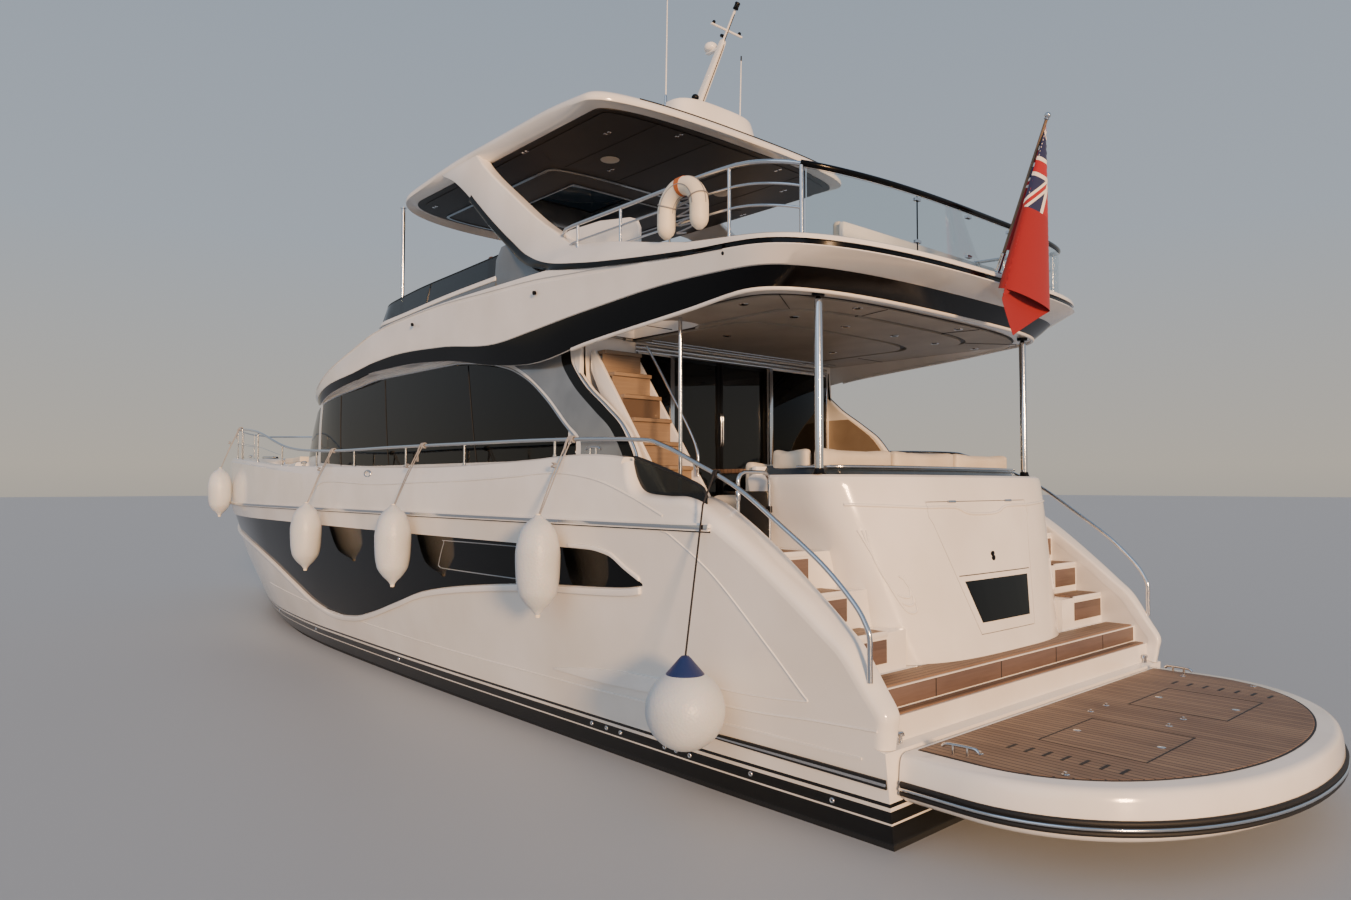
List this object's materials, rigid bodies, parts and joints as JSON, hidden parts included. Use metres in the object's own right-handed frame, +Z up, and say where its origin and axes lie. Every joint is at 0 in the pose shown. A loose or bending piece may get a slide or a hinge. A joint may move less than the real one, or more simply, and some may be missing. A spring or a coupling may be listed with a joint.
{
  "type": "flybridge motor yacht with hardtop, afloat",
  "caption": "Planing motor yacht with enclosed saloon, covered cockpit, railed flybridge under a hardtop, folding mast, stern stairs and a bathing platform on lift arms",
  "frame": {"origin": "on the centreline at the waterline, about amidships", "axes": "+X to the bow, +Y to port, +Z up"},
  "size_m": [23.08, 5.9567, 10.0256],
  "materials": {
    "gelcoat": "white moulding, high gloss",
    "black_glass": "black glass, mirror gloss",
    "tinted_glass": "grey tinted glass",
    "steel": "polished stainless steel",
    "teak": "silvered teak with dark seams",
    "cream": "cream hide, satin",
    "vinyl": "white vinyl, semi-matt",
    "hide": "brown hide, satin",
    "bronze": "cast bronze, satin",
    "cloth": "red bunting, matt"
  },
  "bodies": {
    "boat": {"aerial_plinth": "gelcoat", "anchor": "steel", "arch_port": "gelcoat", "arch_stbd": "gelcoat", "cockpit_sofa": "cream", "cockpit_table": "teak", "deck": "gelcoat", "deckhouse": "gelcoat", "ensign": "cloth", "ensign_staff": "teak", "fender_1": "vinyl", "fender_2": "vinyl", "fender_3": "vinyl", "fender_4": "vinyl", "fender_ball": "vinyl", "fly_console": "gelcoat", "fly_glass_aft": "tinted_glass", "fly_rail": "steel", "fly_screen": "tinted_glass", "fly_sofa": "cream", "fly_stairs": "teak", "flybridge": "gelcoat", "foredeck_sunpad": "cream", "guardrail": "steel", "hardtop": "gelcoat", "hardtop_pole_port": "steel", "hardtop_pole_stbd": "steel", "helm_seat": "hide", "hull": "gelcoat", "lifebuoy": "vinyl", "lift_bracket_port": "steel", "lift_bracket_stbd": "steel", "pole_port": "steel", "pole_stbd": "steel", "saloon_glass_port": "black_glass", "saloon_glass_stbd": "black_glass", "stern_stairs": "teak", "transom_block": "gelcoat", "windscreen": "black_glass"},
    "transom_hatch": {"transom_hatch": "gelcoat"},
    "bathing_platform": {"bathing_platform": "gelcoat"},
    "lift_arms_lower": {"lift_arms_lower": "steel"},
    "lift_arms_upper": {"lift_arms_upper": "steel"},
    "door_port": {"door_port": "tinted_glass"},
    "door_stbd": {"door_stbd": "tinted_glass"},
    "sunroof": {"sunroof": "tinted_glass"},
    "mast": {"mast": "gelcoat"},
    "gate_port": {"gate_port": "steel"},
    "gate_stbd": {"gate_stbd": "steel"},
    "propeller_port": {"propeller_port": "bronze"},
    "propeller_stbd": {"propeller_stbd": "bronze"},
    "rudder_port": {"rudder_port": "bronze"},
    "rudder_stbd": {"rudder_stbd": "bronze"},
    "trim_tab_port": {"trim_tab_port": "steel"},
    "trim_tab_stbd": {"trim_tab_stbd": "steel"}
  },
  "joints": [
    {"name": "transom_hatch_lift", "type": "hinge", "parent": "boat", "child": "transom_hatch", "pos_m": [-8.455, 0, 2.383], "axis": [0, 1, 0], "range_deg": [0, 75]},
    {"name": "platform_lift", "type": "hinge", "parent": "boat", "child": "lift_arms_lower", "pos_m": [-9.23, 0, -0.605], "axis": [0, -1, 0], "range_deg": [0, 60]},
    {"name": "platform_level", "type": "hinge", "parent": "lift_arms_lower", "child": "bathing_platform", "pos_m": [-9.83622, 0, -0.255], "axis": [0, -1, 0], "range_deg": [-60, 0]},
    {"name": "platform_upper_arm", "type": "hinge", "parent": "boat", "child": "lift_arms_upper", "pos_m": [-9.23, 0, -0.465], "axis": [0, -1, 0], "range_deg": [0, 60]},
    {"name": "saloon_door_port", "type": "slide", "parent": "boat", "child": "door_port", "axis": [0, 1, 0], "range_m": [0, 0.8]},
    {"name": "saloon_door_stbd", "type": "slide", "parent": "boat", "child": "door_stbd", "axis": [0, -1, 0], "range_m": [0, 0.8]},
    {"name": "sunroof_slide", "type": "slide", "parent": "boat", "child": "sunroof", "axis": [-1, 0, 0], "range_m": [0, 0.9]},
    {"name": "mast_fold", "type": "hinge", "parent": "boat", "child": "mast", "pos_m": [-4.6, 0, 7.26], "axis": [0, -1, 0], "range_deg": [0, 45]},
    {"name": "gate_port_swing", "type": "hinge", "parent": "boat", "child": "gate_port", "pos_m": [-7.54, 2.278, 2.3], "axis": [0, 0, 1], "range_deg": [0, 90]},
    {"name": "gate_stbd_swing", "type": "hinge", "parent": "boat", "child": "gate_stbd", "pos_m": [-7.54, -2.278, 2.3], "axis": [0, 0, -1], "range_deg": [0, 90]},
    {"name": "propeller_port_spin", "type": "hinge", "parent": "boat", "child": "propeller_port", "pos_m": [-7.44, 1.15, -1.12], "axis": [0.985, 0, 0.1726], "continuous": true},
    {"name": "propeller_stbd_spin", "type": "hinge", "parent": "boat", "child": "propeller_stbd", "pos_m": [-7.44, -1.15, -1.12], "axis": [0.985, 0, 0.1726], "continuous": true},
    {"name": "rudder_port_turn", "type": "hinge", "parent": "boat", "child": "rudder_port", "pos_m": [-8.35, 1.15, -0.66], "axis": [0, 0, 1], "range_deg": [-35, 35]},
    {"name": "rudder_stbd_turn", "type": "hinge", "parent": "boat", "child": "rudder_stbd", "pos_m": [-8.35, -1.15, -0.66], "axis": [0, 0, 1], "range_deg": [-35, 35]},
    {"name": "trim_tab_port_tilt", "type": "hinge", "parent": "boat", "child": "trim_tab_port", "pos_m": [-9.1003, 0.95, -0.60212], "axis": [0, -0.9428, -0.3335], "range_deg": [0, 20]},
    {"name": "trim_tab_stbd_tilt", "type": "hinge", "parent": "boat", "child": "trim_tab_stbd", "pos_m": [-9.1003, -0.95, -0.60212], "axis": [0, -0.9428, 0.3335], "range_deg": [0, 20]}
  ],
  "couplings": [
    {"joint": "platform_level", "follows": "platform_lift", "ratio": -1},
    {"joint": "platform_upper_arm", "follows": "platform_lift", "ratio": 1},
    {"joint": "rudder_stbd_turn", "follows": "rudder_port_turn", "ratio": 1}
  ]
}
